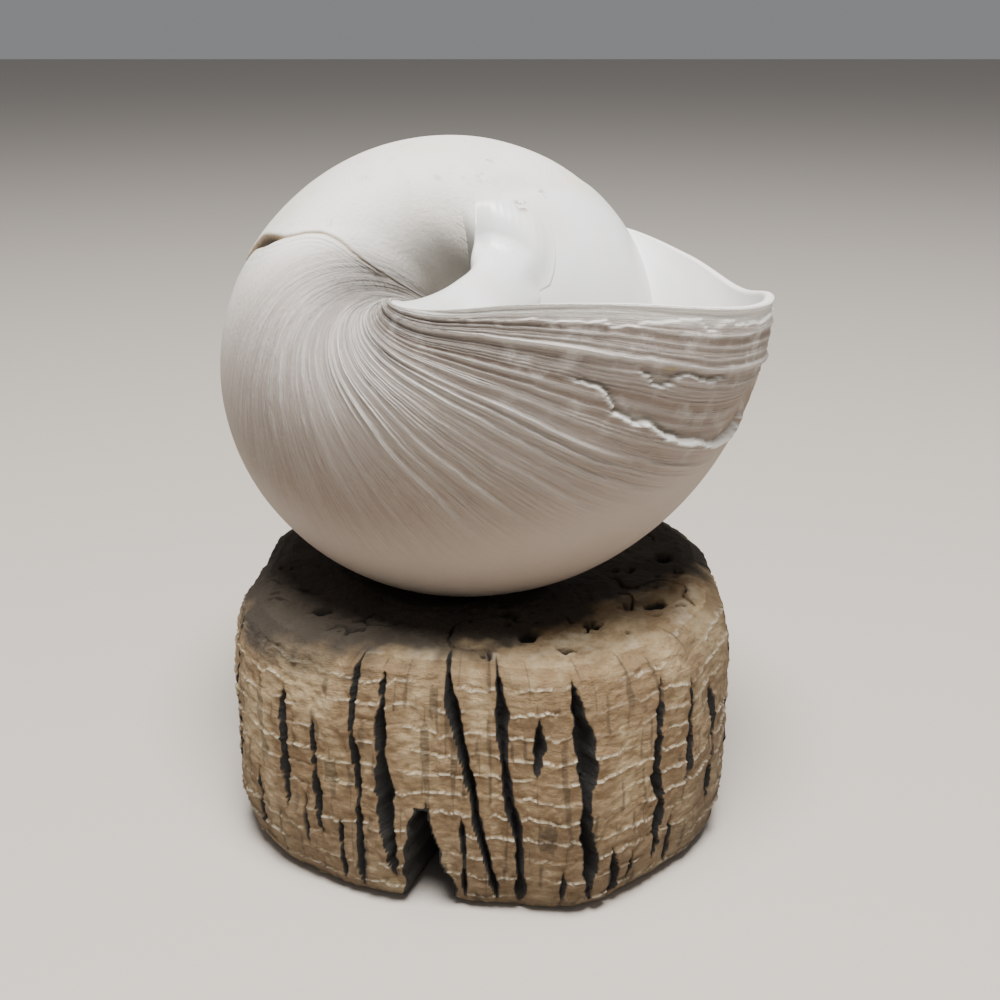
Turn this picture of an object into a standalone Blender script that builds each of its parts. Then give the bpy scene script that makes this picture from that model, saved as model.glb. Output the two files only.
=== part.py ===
"""A worn moon snail shell that rests on a block of weathered cork.

Lengths are millimetres while a shape is worked out, and metres in the finished meshes.
The shell is one tube that grows by a constant ratio as it winds round its own axis.
An angle "stage" counts growth back from the lip (0 at the lip, -360 one turn earlier).
An angle "around" runs round the tube's section: 0 at the widest place, 90 towards the
apex, -90 at the base and -180 at the umbilicus.
"""

import math

import bmesh
import bpy
from mathutils import Matrix, Vector

MM = 0.001
MERGE_DISTANCE = 0.00001

# Shell: the section of the last whorl at the mouth, and its growth
MOUTH_RADIUS = 50.0
GROWTH_PER_TURN = 1.741
SECTION_AXIS_DISTANCE = 26.74
SECTION_HEIGHT = -62.25
SECTION_HALF_WIDTH = 21.58
SECTION_HALF_LENGTH = 33.98
SECTION_TILT = 4.9
SECTION_ROUNDING = 0.076
SECTION_SKEW = 0.145
SPIRE_START = -45.0
SPIRE_DEPTH = 30.0
WHORLS = 4.4
CORE_PROFILE = ((-21.4, 0.8), (-22.2, 1.9), (-24.0, 2.7), (-27.0, 3.3), (-30.0, 4.3), (-34.0, 5.0),
                (-37.0, 6.4), (-41.0, 7.8), (-46.0, 8.8), (-49.0, 8.8), (-50.5, 6.0))
CORE_SIDES = 16
SPIRE_UNTIL = -720.0
SPIRE_RING_STEP = 20.0
BODY_RING_STEP = 15.0
SWEEP_GROWS_OVER = 300.0
MOUTH_DEPTH = 235.0
MOUTH_SWEPT_TO = 70.0

# Shell: the slant of its growth lines
LIP_PLANE_SLANT = 25.3
LIP_PLANE_TWIST = 18.2
STEEPEST_SINE = 0.93
FIRST_AROUND = -200.0
BASE_SWEEP_START = -95.0
UMBILICUS_SWEEP_END = -190.0
SWEEP_REACH = 1.15
UMBILICUS_LAG = -107.6
UMBILICUS_LAG_SLOPE = 0.186
HIDDEN_FROM = 120.0
HIDDEN_TO = 160.0

# Shell: walls and relief
LIP_WALL = 1.3
INNER_WALL = 2.6
WALL_GROWS_OVER = 40.0
COLUMELLA_WALL = 1.6
COLUMELLA_SPAN = (-110.0, -150.0)
LIP_WORN_BACK = 20.0
LIP_DRAWN_FORWARD = 9.0
LIP_DRAWN_SPAN = (60.0, 92.0)
LIP_CUT_BACK = 4.8
LIP_CUT_MIDDLE = 44.0
LIP_CUT_HALF_WIDTH = 17.0
RIDGES_FROM = (-150.0, -100.0)
RIDGES_TO = (25.0, -25.0)
RIDGE_STAGES = (-4.0, -10.0, -18.5, -29.0, -33.5, -40.0, -49.0)
RIDGE_PROFILE = ((-1.5, 0.0), (0.0, 0.55), (1.5, 0.0))
BEFORE_SCAR = -240.0
SCAR_STAGE = -176.0
SCAR_BENDS = ((18.0, -60.0, -120.0), (53.0, -110.0, -160.0))
SCAR_HIDDEN_BEND = 71.0
SCAR_PROFILE = ((-3.0, 0.0), (-0.4, 0.25), (0.0, -1.1), (2.5, 0.0))
RINGS_BEFORE_SCAR = 7
RINGS_AFTER_SCAR = 11
INSIDE_RINGS = 12
INSIDE_RING_SPREAD = 1.5
SHARP_ANGLE = 40.0
SECTION_STEPS = 36

# Shell: the callus, a pad that bridges from the inner lip to the previous whorl, with the
# stage, the span round the section and the inset of its edge on each
CALLUS_LIP_STAGE = -1.8
CALLUS_LIP_SPAN = (-152.0, -93.0)
CALLUS_LIP_INSET = 0.3
CALLUS_BODY_STAGES = (-255.0, -325.0)
CALLUS_BODY_SPAN = (-122.0, -95.0)
CALLUS_BODY_INSET = 0.6
CALLUS_OVER_UMBILICUS = (9.4, 5.0, -69.6)
CALLUS_INTO_MOUTH = (12.0, 7.0, -67.0)
CALLUS_NORMAL = (-0.29, -0.72, -0.63)
CALLUS_SWELLING = 1.8
CALLUS_EDGE = 1.8
CALLUS_INWARDS = (0.0, 0.3, 0.95)
CALLUS_ROOT = 14.0
CALLUS_STEPS = 8

# Shell: how it lies on the stand
SHELL_ORIGIN = (9.36, 49.0, 54.4)
APEX_AZIMUTH = 19.5
APEX_DIP = -31.3
SHELL_ROLL = 0.8

# Stand: a rounded block, as heights with the share of the full outline reached there
STAND_HALF_WIDTH = 38.2
STAND_FRONT = 33.0
STAND_BACK = 36.0
STAND_HEIGHT = 39.8
FRONT_SQUARENESS = 2.45
BACK_SQUARENESS = 4.0
SIDE_BLEND = 0.2
STAND_PROFILE = ((0.0, 0.90), (0.8, 0.945), (3.0, 0.98), (8.0, 1.0), (18.0, 1.005),
                 (29.0, 1.0), (35.0, 0.985), (38.4, 0.95), (STAND_HEIGHT, 0.89))
OUTLINE_LUMPS = ((22, 17, 3.4), (-75, 22, 1.2), (-38, 14, -0.6), (88, 30, 1.5), (150, 20, -1.0))
OUTLINE_GAP = 8.0

# Stand channels: directions of the foot and the top (0 is the front, 90 is +X), lowest and
# highest place, half width as an angle, depth. Each one tapers off at its foot and its top.
CHANNEL_FOOT_TAPER = (-1.0, 4.0)
CHANNEL_TOP_TAPER = (2.0, -3.0)
CHANNELS = (
    (-73, -73, 8, 38, 1.4, 1.6), (-50, -50, 12, 32, 1.4, 1.8), (-41, -42, 9, 29, 1.0, 1.6),
    (-30, -31.5, 2, 39.5, 1.0, 2.0), (-22, -24.8, 5, 38.5, 1.9, 2.8), (5, -8.5, 2, 40, 1.3, 2.6),
    (11, 4, 3, 39.5, 1.3, 2.2), (25.3, 21.7, 2, 37.5, 2.0, 3.2), (44, 43, 5, 35, 1.8, 3.0),
    (53.5, 53, 16, 33, 1.1, 1.8), (63, 62, 8, 30, 1.1, 1.8), (78, 77, 10, 38, 1.3, 2.0),
    (101, 99, 12, 39, 1.2, 2.0), (124, 128, 2, 36, 1.6, 2.6), (150, 152, 10, 38.5, 1.2, 2.2),
    (172, 169, 3, 37, 1.8, 3.0), (198, 197, 14, 39, 1.2, 2.0), (223, 226, 4, 36, 1.6, 2.4),
    (255, 252, 10, 38, 1.4, 2.0))
NOTCH_PLACE = -8.0
NOTCH_OUTLINE = ((-3.2, -2.0), (4.8, -2.0), (2.2, 8.0), (-0.2, 17.0), (-1.6, 17.0), (-2.6, 8.0))
NOTCH_FRONT = -40.0
NOTCH_BACK = -20.0
NOTCH_BACK_WIDTH = 0.35
NOTCH_BACK_HEIGHT = 0.8
PITS = ((7.1, -22.2, 1.6), (12.5, -27.0, 1.5), (16.4, -19.2, 1.4), (26.9, -12.1, 1.8),
        (30.2, 5.4, 1.9), (-24.0, -14.0, 1.6), (5.0, 24.0, 1.8))
PIT_RAISED = 0.3
SEAT_DEPTH = 1.5
SEAT_RADIUS = 42.0
SEAT_PLACE = (-6.5, -1.2)
SEAT_SEGMENTS = 24
SEAT_RINGS = 36


def clear_scene():
    for old in list(bpy.data.objects):
        bpy.data.objects.remove(old, do_unlink=True)


def make_material(name, colour, roughness):
    material = bpy.data.materials.new(name)
    material.use_nodes = True
    shader = material.node_tree.nodes["Principled BSDF"]
    shader.inputs["Base Color"].default_value = (*colour, 1.0)
    shader.inputs["Roughness"].default_value = roughness
    shader.inputs["Metallic"].default_value = 0.0
    return material


def smoothstep(low, high, value):
    share = min(max((value - low) / (high - low), 0.0), 1.0)
    return share * share * (3 - 2 * share)


def bump(centre, half_width, value):
    return math.exp(-((value - centre) / half_width) ** 2)


def section(around, inset=0.0):
    """Distance from the axis and height of the mouth's outline, moved inwards by inset."""
    t = math.radians(around)
    tilt = math.radians(SECTION_TILT)
    swell = 1 + SECTION_ROUNDING * math.cos(2 * t) + SECTION_SKEW * math.sin(2 * t)
    across = (SECTION_HALF_WIDTH - inset) * math.cos(t) * swell
    along = (SECTION_HALF_LENGTH - inset) * math.sin(t) * swell
    distance = SECTION_AXIS_DISTANCE + math.cos(tilt) * across - math.sin(tilt) * along
    height = SECTION_HEIGHT + math.sin(tilt) * across + math.cos(tilt) * along
    return distance, height


def plane_lead(around):
    """Lead of a growth line that lies in a slanting plane, in degrees."""
    distance, height = section(around)
    slope = math.tan(math.radians(LIP_PLANE_SLANT))
    sine = slope * (height - SECTION_HEIGHT) / max(distance, 0.1)
    twist = LIP_PLANE_TWIST * (1 - distance / MOUTH_RADIUS)
    return math.degrees(math.asin(min(max(sine, -STEEPEST_SINE), STEEPEST_SINE))) + twist


def base_lead(around):
    """Lead between the base and the umbilicus, where the lines sweep back in one curve."""
    start, end = BASE_SWEEP_START, UMBILICUS_SWEEP_END
    span = end - start
    x = min((around - start) / span, SWEEP_REACH)
    first = plane_lead(start)
    first_slope = plane_lead(start + 0.5) - plane_lead(start - 0.5)
    return ((2 * x**3 - 3 * x**2 + 1) * first + (x**3 - 2 * x**2 + x) * span * first_slope
            + (3 * x**2 - 2 * x**3) * UMBILICUS_LAG + (x**3 - x**2) * span * UMBILICUS_LAG_SLOPE)


def lead(around):
    """How far a growth line runs ahead of its stage, once round from FIRST_AROUND."""
    if around < BASE_SWEEP_START:
        return base_lead(around)
    if around <= HIDDEN_FROM:
        return plane_lead(around)
    share = smoothstep(HIDDEN_FROM, HIDDEN_TO, around)
    return plane_lead(HIDDEN_FROM) * (1 - share) + base_lead(FIRST_AROUND) * share


def shown(around):
    """1 on the outside of a whorl, falling to 0 where the older whorl covers it."""
    return smoothstep(HIDDEN_TO, HIDDEN_FROM, around)


def shell_point(stage, around, inset=0.0, sweep=1.0):
    """A place on the growing tube, in the shell's own frame with the apex at its origin."""
    distance, height = section(around, inset)
    turn = math.radians(stage + sweep * lead(around))
    size = GROWTH_PER_TURN ** (turn / (2 * math.pi))
    z = size * height
    if z > SPIRE_START:
        z = SPIRE_START + SPIRE_DEPTH * (1 - math.exp(-(z - SPIRE_START) / SPIRE_DEPTH))
    return Vector((size * distance * math.cos(turn), -size * distance * math.sin(turn), z))


def lip_reach(around):
    """The worn lip: cut back in the middle of its far side, drawn forward at its upper end."""
    forward = LIP_DRAWN_FORWARD * smoothstep(*LIP_DRAWN_SPAN, around) * shown(around)
    return forward - LIP_CUT_BACK * bump(LIP_CUT_MIDDLE, LIP_CUT_HALF_WIDTH, around)


def near_lip(stage, around):
    """Stage of a ring after its share in the worn shape of the lip."""
    return stage + lip_reach(around) * bump(0, LIP_WORN_BACK, stage)


def wall(stage, around):
    """Wall thickness, thin at the lip and thicker inside and along the columella."""
    depth = min(-stage / WALL_GROWS_OVER, 1.0)
    columella = COLUMELLA_WALL * smoothstep(*COLUMELLA_SPAN, around)
    return LIP_WALL + (INNER_WALL - LIP_WALL) * depth + columella


def scar_line(around):
    """Stage of the healed break, from the widest place to the umbilicus."""
    bends = sum(stages * smoothstep(first, last, around) for stages, first, last in SCAR_BENDS)
    return SCAR_STAGE + bends + SCAR_HIDDEN_BEND * (1 - shown(around))


def on_base(around):
    """1 where the outside shows its growth lines, fading towards the widest place."""
    return smoothstep(*RIDGES_FROM, around) * smoothstep(*RIDGES_TO, around)


def around_steps(count):
    return [FIRST_AROUND + 360.0 * k / count for k in range(count)]


def outside_rings(steps):
    """Rings along the outside, oldest first."""
    rings = []

    def add(stage_at, height=0.0, sweep=1.0):
        rings.append([shell_point(near_lip(stage_at(a), a), a, -height * on_base(a), sweep)
                      for a in steps])

    def add_between(first, last, count):
        for k in range(1, count):
            add(lambda a: first(a) + (last(a) - first(a)) * k / count)

    oldest = -360.0 * WHORLS
    stage = oldest
    while stage < BEFORE_SCAR:
        add(lambda a: stage, sweep=smoothstep(oldest, oldest + SWEEP_GROWS_OVER, stage))
        stage += SPIRE_RING_STEP if stage < SPIRE_UNTIL else BODY_RING_STEP
    add_between(lambda a: BEFORE_SCAR, scar_line, RINGS_BEFORE_SCAR)
    for shift, height in SCAR_PROFILE:
        add(lambda a: scar_line(a) + shift, height)
    add_between(scar_line, lambda a: RIDGE_STAGES[-1], RINGS_AFTER_SCAR)
    for ridge in reversed(RIDGE_STAGES):
        for shift, height in RIDGE_PROFILE:
            add(lambda a: ridge + shift, height)
    add(lambda a: 0.0)
    return rings


def inside_rings(steps):
    """Rings along the inside of the mouth, from the lip inwards."""
    rings = []
    for k in range(INSIDE_RINGS):
        stage = -MOUTH_DEPTH * (k / (INSIDE_RINGS - 1)) ** INSIDE_RING_SPREAD
        sweep = smoothstep(-MOUTH_DEPTH, -MOUTH_SWEPT_TO, stage)
        rings.append([shell_point(near_lip(stage, a), a, wall(stage, a), sweep) for a in steps])
    return rings


def callus_edges():
    """The four edges of the callus, each a function of a share from 0 to 1."""
    def between(ends, share):
        return ends[0] + (ends[1] - ends[0]) * share

    def along_lip(share):
        return shell_point(CALLUS_LIP_STAGE, between(CALLUS_LIP_SPAN, share), CALLUS_LIP_INSET)

    def along_body(share):
        stage = between(CALLUS_BODY_STAGES, share)
        return shell_point(stage, between(CALLUS_BODY_SPAN, share), CALLUS_BODY_INSET)

    def bent(start, middle, end):
        return lambda share: (start * (1 - share) ** 2 + middle * 2 * share * (1 - share)
                              + end * share ** 2)

    umbilicus_edge = bent(along_lip(0), Vector(CALLUS_OVER_UMBILICUS), along_body(0))
    mouth_edge = bent(along_lip(1), Vector(CALLUS_INTO_MOUTH), along_body(1))
    return along_lip, along_body, umbilicus_edge, mouth_edge


def callus_top(s, v):
    """The callus surface: a patch between its four edges, swollen in its middle."""
    lip, body, left, right = callus_edges()
    patch = lip(s) * (1 - v) + body(s) * v + left(v) * (1 - s) + right(v) * s
    corners = (lip(0) * (1 - s) + lip(1) * s) * (1 - v) + (body(0) * (1 - s) + body(1) * s) * v
    swelling = CALLUS_SWELLING * math.sin(math.pi * s) * math.sqrt(math.sin(math.pi * v))
    return patch - corners + Vector(CALLUS_NORMAL) * swelling


def callus_root(v):
    """How far the callus reaches in from its surface, down to the columella and the body."""
    return Vector(CALLUS_INWARDS) * (CALLUS_EDGE + CALLUS_ROOT * math.sin(math.pi * v))


def callus_body():
    """The callus as a closed solid, to be joined to the shell."""
    shares = [k / CALLUS_STEPS for k in range(CALLUS_STEPS + 1)]
    mesh = bmesh.new()
    top = [[mesh.verts.new(callus_top(s, v)) for s in shares] for v in shares]
    root = [[mesh.verts.new(callus_top(s, v) + callus_root(v)) for s in shares] for v in shares]
    for side in (top, root):
        for first, second in zip(side, side[1:]):
            add_strip(mesh, first, second)
    for over, under in ((top[0], root[0]), (top[-1], root[-1]),
                        ([row[0] for row in top], [row[0] for row in root]),
                        ([row[-1] for row in top], [row[-1] for row in root])):
        add_strip(mesh, over, under)
    bmesh.ops.recalc_face_normals(mesh, faces=mesh.faces)
    return mesh


def add_strip(mesh, first, second):
    for k in range(len(first) - 1):
        mesh.faces.new((first[k], first[k + 1], second[k + 1], second[k]))


def join_rings(rings):
    """One closed skin through a row of rings, with a fan at each end."""
    mesh = bmesh.new()
    loops = [[mesh.verts.new(point) for point in ring] for ring in rings]
    for first, second in zip(loops, loops[1:]):
        for k in range(len(first)):
            j = (k + 1) % len(first)
            mesh.faces.new((first[k], first[j], second[j], second[k]))
    for loop in (loops[0], loops[-1]):
        centre = mesh.verts.new(sum((v.co for v in loop), Vector()) / len(loop))
        for k in range(len(loop)):
            mesh.faces.new((loop[k], loop[(k + 1) % len(loop)], centre))
    bmesh.ops.recalc_face_normals(mesh, faces=mesh.faces)
    return mesh


def object_from(mesh, name, matrix, material):
    mesh.transform(matrix)
    data = bpy.data.meshes.new(name)
    mesh.to_mesh(data)
    mesh.free()
    data.shade_smooth()
    data.set_sharp_from_angle(angle=math.radians(SHARP_ANGLE))
    thing = bpy.data.objects.new(name, data)
    bpy.context.scene.collection.objects.link(thing)
    data.materials.append(material)
    return thing


def shell_matrix():
    """The shell's place and rest attitude: its base faces forwards and its mouth upwards."""
    azimuth, dip, roll = (math.radians(a) for a in (APEX_AZIMUTH, APEX_DIP, SHELL_ROLL))
    apex = Vector((math.sin(azimuth) * math.cos(dip), math.cos(azimuth) * math.cos(dip), math.sin(dip)))
    level = apex.cross(Vector((0, 0, 1))).normalized()
    upright = level.cross(apex)
    x_axis = math.cos(roll) * level + math.sin(roll) * upright
    y_axis = apex.cross(x_axis)
    turn = Matrix((x_axis, y_axis, apex)).transposed().to_4x4()
    return Matrix.Scale(MM, 4) @ Matrix.Translation(SHELL_ORIGIN) @ turn


def axis_core():
    """The solid middle: the tip of the spire, and the closed end of the umbilicus."""
    turns = [2 * math.pi * k / CORE_SIDES for k in range(CORE_SIDES)]
    return join_rings([[Vector((radius * math.cos(t), radius * math.sin(t), height)) for t in turns]
                       for height, radius in CORE_PROFILE])


def add_boolean(thing, other, operation):
    """Join or cut with another object, which then stays out of the finished part."""
    other.hide_render = True
    other.display_type = "WIRE"
    modifier = thing.modifiers.new(operation.title(), "BOOLEAN")
    modifier.operation = operation
    modifier.solver = "EXACT"
    modifier.use_self = operation == "UNION"
    modifier.object = other


def settle(thing):
    """Apply the joins, leave plain triangles, and drop the flaps that have no width."""
    mesh = bmesh.new()
    mesh.from_object(thing, bpy.context.evaluated_depsgraph_get())
    bmesh.ops.remove_doubles(mesh, verts=mesh.verts, dist=MERGE_DISTANCE)
    bmesh.ops.triangulate(mesh, faces=mesh.faces, ngon_method="BEAUTY")
    flaps = [face for face in mesh.faces if sum(len(e.link_faces) == 1 for e in face.edges) > 1]
    bmesh.ops.delete(mesh, geom=flaps, context="FACES")
    mesh.to_mesh(thing.data)
    mesh.free()
    for modifier in list(thing.modifiers):
        used = modifier.object
        thing.modifiers.remove(modifier)
        bpy.data.objects.remove(used, do_unlink=True)


def make_shell(material):
    steps = around_steps(SECTION_STEPS)
    matrix = shell_matrix()
    tube = join_rings(outside_rings(steps) + inside_rings(steps))
    shell = object_from(tube, "shell", matrix, material)
    callus = object_from(callus_body(), "callus", matrix, material)
    core = object_from(axis_core(), "core", matrix, material)
    add_boolean(shell, core, "UNION")
    add_boolean(shell, callus, "UNION")
    settle(shell)
    return shell


def outline_radius(direction):
    """Distance of the stand's side from its middle, a rounded square with soft lumps."""
    turn = math.radians(direction)
    behind = smoothstep(SIDE_BLEND, -SIDE_BLEND, math.cos(turn))
    depth = STAND_FRONT + (STAND_BACK - STAND_FRONT) * behind
    power = FRONT_SQUARENESS + (BACK_SQUARENESS - FRONT_SQUARENESS) * behind
    radius = (abs(math.sin(turn) / STAND_HALF_WIDTH) ** power
              + abs(math.cos(turn) / depth) ** power) ** (-1 / power)
    lumps = sum(rise * bump(0, half, (direction - middle + 180) % 360 - 180)
                for middle, half, rise in OUTLINE_LUMPS)
    return radius + lumps


def outline_columns():
    """Upright rows of the side: direction of the foot, direction of the top, channel or None."""
    columns = []
    first = CHANNELS[0]
    following = CHANNELS[1:] + ((first[0] + 360, first[1] + 360, *first[2:]),)
    for channel, after in zip(CHANNELS, following):
        foot, top, half = channel[0], channel[1], channel[4]
        columns += [(foot + side * half, top + side * half, None if side else channel)
                    for side in (-1, 0, 1)]
        foot_gap = after[0] - after[4] - foot - half
        top_gap = after[1] - after[4] - top - half
        count = int(max(foot_gap, top_gap) / OUTLINE_GAP) + 1
        columns += [(foot + half + foot_gap * k / count, top + half + top_gap * k / count, None)
                    for k in range(1, count)]
    return columns


def channel_depth(channel, height):
    """Depth of a channel at a height, tapering to nothing at its two ends."""
    if channel is None:
        return 0.0
    low, high, depth = channel[2], channel[3], channel[5]
    foot = smoothstep(*(low + taper for taper in CHANNEL_FOOT_TAPER), height)
    top = smoothstep(*(high + taper for taper in CHANNEL_TOP_TAPER), height)
    return depth * foot * top


def stand_block():
    rings = []
    for height, share in STAND_PROFILE:
        ring = []
        for foot, top, channel in outline_columns():
            direction = foot + (top - foot) * height / STAND_HEIGHT
            radius = outline_radius(direction) * share - channel_depth(channel, height)
            turn = math.radians(direction)
            ring.append(Vector((radius * math.sin(turn), -radius * math.cos(turn), height)))
        rings.append(ring)
    return join_rings(rings)


def notch_cutter(mesh):
    """A tapering opening in the lower front edge."""
    front, back = [], []
    for x, z in NOTCH_OUTLINE:
        front.append(mesh.verts.new((NOTCH_PLACE + x, NOTCH_FRONT, z)))
        x, z = NOTCH_BACK_WIDTH * x, NOTCH_BACK_HEIGHT * z
        back.append(mesh.verts.new((NOTCH_PLACE + x, NOTCH_BACK, z)))
    for k in range(len(front)):
        j = (k + 1) % len(front)
        mesh.faces.new((front[k], front[j], back[j], back[k]))
    mesh.faces.new(front[::-1])
    mesh.faces.new(back)


def stand_cutter():
    """Everything that is hollowed out of the block: notch, seat and pits."""
    mesh = bmesh.new()
    notch_cutter(mesh)
    seat = Matrix.Translation((*SEAT_PLACE, STAND_HEIGHT - SEAT_DEPTH + SEAT_RADIUS))
    bmesh.ops.create_uvsphere(mesh, u_segments=SEAT_SEGMENTS, v_segments=SEAT_RINGS,
                              radius=SEAT_RADIUS, matrix=seat)
    for x, y, radius in PITS:
        pit = Matrix.Translation((x, y, STAND_HEIGHT + PIT_RAISED))
        bmesh.ops.create_icosphere(mesh, subdivisions=2, radius=radius, matrix=pit)
    bmesh.ops.recalc_face_normals(mesh, faces=mesh.faces)
    return mesh


def make_stand(material):
    matrix = Matrix.Scale(MM, 4)
    stand = object_from(stand_block(), "stand", matrix, material)
    hollows = object_from(stand_cutter(), "hollows", matrix, material)
    add_boolean(stand, hollows, "DIFFERENCE")
    return stand


def main():
    clear_scene()
    make_shell(make_material("chalk_white", (0.80, 0.77, 0.72), 0.62))
    make_stand(make_material("weathered_cork", (0.42, 0.31, 0.20), 0.9))


main()
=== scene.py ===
"""Fine surfaces, colours and light for a worn moon snail shell on a block of weathered cork.

Lengths are millimetres while a shape is worked out, and metres in the finished meshes.
The shell grows by a constant ratio as it winds round its own axis. An angle "stage" counts
growth back from the lip, and an angle "around" runs round the tube's section: 0 at the
widest place, 90 towards the apex, -90 at the base and -180 at the umbilicus.
"""

import math

import bpy
import numpy as np
from mathutils import Matrix, Vector
from mathutils.bvhtree import BVHTree


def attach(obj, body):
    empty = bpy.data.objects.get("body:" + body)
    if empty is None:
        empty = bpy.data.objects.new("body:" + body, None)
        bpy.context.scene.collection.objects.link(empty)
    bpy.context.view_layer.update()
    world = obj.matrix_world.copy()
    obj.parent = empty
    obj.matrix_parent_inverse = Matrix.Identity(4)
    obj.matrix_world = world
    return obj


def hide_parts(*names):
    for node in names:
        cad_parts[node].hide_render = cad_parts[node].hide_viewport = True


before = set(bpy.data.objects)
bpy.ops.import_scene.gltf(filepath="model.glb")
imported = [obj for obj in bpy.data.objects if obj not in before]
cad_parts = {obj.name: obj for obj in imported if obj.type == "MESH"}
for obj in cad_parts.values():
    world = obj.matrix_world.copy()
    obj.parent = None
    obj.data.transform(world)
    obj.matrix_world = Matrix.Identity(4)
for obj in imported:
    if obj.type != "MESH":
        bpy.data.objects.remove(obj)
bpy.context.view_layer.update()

MM = 0.001

# Shell: section of the last whorl at the mouth, growth, and place, as in the solids
MOUTH_RADIUS = 50.0
GROWTH_PER_TURN = 1.741
SECTION_AXIS_DISTANCE = 26.74
SECTION_HEIGHT = -62.25
SECTION_HALF_WIDTH = 21.58
SECTION_HALF_LENGTH = 33.98
SECTION_TILT = 4.9
SECTION_ROUNDING = 0.076
SECTION_SKEW = 0.145
SPIRE_START = -45.0
SPIRE_DEPTH = 30.0
OLDEST_STAGE = -1584.0
SWEEP_GROWS_OVER = 300.0
LIP_PLANE_SLANT = 25.3
LIP_PLANE_TWIST = 18.2
BASE_SWEEP_START = -95.0
UMBILICUS_SWEEP_END = -190.0
UMBILICUS_LAG = -107.6
UMBILICUS_LAG_SLOPE = 0.186
HIDDEN_FROM = 120.0
HIDDEN_TO = 160.0
LIP_WALL = 1.3
INNER_WALL = 2.6
WALL_GROWS_OVER = 40.0
COLUMELLA_WALL = 1.6
LIP_WORN_BACK = 20.0
MOUTH_DEPTH = 235.0
MOUTH_SWEPT_TO = 70.0
SHELL_ORIGIN = (9.36, 49.0, 54.4)
APEX_AZIMUTH = 19.5
APEX_DIP = -31.3
SHELL_ROLL = 0.8

# Shell: how far the lip stands forward at the suture, and how far it is worn back above its middle
LIP_FORWARD = 9.0
LIP_WORN = 4.8
LIP_ROUNDING = 0.55

# Shell: the parts of the surface that show, in degrees around and of stage
FIRST_COLUMN = -200.0
LAST_COLUMN = 128.0
LAST_WHORL_FROM = -245.0
NEAR_LIP_FROM = -62.0
PREVIOUS_WHORL = (-600.0, -238.0)
APEX_CLOSED_AT = -2900.0
SPIRE_TO = -590.0
SPIRE_COLUMNS = (-40.0, 150.0)

# Shell: rows and columns of its skins
LAST_WHORL_COLUMNS = 190
ROWS_BEFORE_SCAR = 46
ROWS_AFTER_SCAR = 110
ROWS_NEAR_LIP = 270
LIP_ROWS = 5
MOUTH_ROWS = 60

# Umbilicus: how far the painted shade reaches from the callus's edge, and each reach's share of it
UMBILICUS_SHADE_REACHES = ((12.5, 0.75), (5.0, 0.25))

# Callus: a pad that bridges from the inner lip to the previous whorl
CALLUS_OVER_UMBILICUS = (10.6, 6.2, -68.5)
CALLUS_INTO_MOUTH = (12.0, 7.0, -67.0)
CALLUS_NORMAL = (-0.29, -0.72, -0.63)
CALLUS_SWELLING = 1.8
CALLUS_INWARDS = (0.0, 0.3, 0.95)
CALLUS_BLEND = 3.2
CALLUS_TUCKED_UNDER = 1.05
CALLUS_ROWS = 82
CALLUS_COLUMNS = 64
SKIRT_ROWS = 28
SKIRT_SPAN = 0.4
CALLUS_EDGE_TURNS = (20, 40, 60, 80)
CALLUS_EDGE_DEPTHS = (1.0, 2.0, 4.0, 7.0, 11.0, 16.0)
CALLUS_LEFT_ROLL = 1.2
CALLUS_RIGHT_ROLL = 1.0

# Growth relief: stage, height and half width of the strong ridges
STRONG_RIDGES = (
    (-1.6, 0.30, 0.40), (-4.2, 0.50, 0.35), (-6.4, 0.30, 0.35), (-8.0, 0.24, 0.30), (-10.0, 1.15, 0.52),
    (-12.6, 0.30, 0.35), (-14.4, 0.24, 0.35), (-18.5, 0.60, 0.45), (-21.0, 0.26, 0.40), (-24.2, 0.40, 0.45),
    (-28.1, 0.85, 0.40), (-30.3, 0.80, 0.40), (-33.5, 0.60, 0.55), (-37.0, 0.36, 0.50), (-40.0, 0.60, 0.60),
    (-44.5, 0.42, 0.60), (-49.0, 0.62, 0.70), (-53.5, 0.38, 0.60), (-58.0, 0.52, 0.70))
FINE_RIDGE_SEED = 11
FINE_RIDGES = (-1.0, -60.0)
RADIAL_RIDGE_SEED = 23
RADIAL_RIDGES_TO = -150.0

# Stand: as in the solids
STAND_HALF_WIDTH = 38.2
STAND_FRONT = 33.0
STAND_BACK = 36.0
STAND_HEIGHT = 39.8
FRONT_SQUARENESS = 2.45
BACK_SQUARENESS = 4.0
STAND_PROFILE = ((0.0, 0.90), (0.8, 0.945), (3.0, 0.98), (8.0, 1.0), (18.0, 1.005),
                 (29.0, 1.0), (35.0, 0.985), (38.4, 0.95), (STAND_HEIGHT, 0.89))
OUTLINE_LUMPS = ((22, 17, 3.4), (-75, 22, 1.2), (-38, 14, -0.6), (88, 30, 1.5), (150, 20, -1.0))
CHANNELS = (
    (-73, -73, 8, 38, 1.4, 1.6), (-50, -50, 12, 32, 1.4, 1.8), (-41, -42, 9, 29, 1.0, 1.6),
    (-30, -31.5, 2, 39.5, 1.0, 2.0), (-22, -24.8, 5, 38.5, 1.9, 2.8), (5, -8.5, 2, 40, 1.3, 2.6),
    (11, 4, 3, 39.5, 1.3, 2.2), (25.3, 21.7, 2, 37.5, 2.0, 3.2), (44, 43, 5, 35, 1.8, 3.0),
    (53.5, 53, 16, 33, 1.1, 1.8), (63, 62, 8, 30, 1.1, 1.8), (78, 77, 10, 38, 1.3, 2.0),
    (101, 99, 12, 39, 1.2, 2.0), (124, 128, 2, 36, 1.6, 2.6), (150, 152, 10, 38.5, 1.2, 2.2),
    (172, 169, 3, 37, 1.8, 3.0), (198, 197, 14, 39, 1.2, 2.0), (223, 226, 4, 36, 1.6, 2.4),
    (255, 252, 10, 38, 1.4, 2.0))
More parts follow.
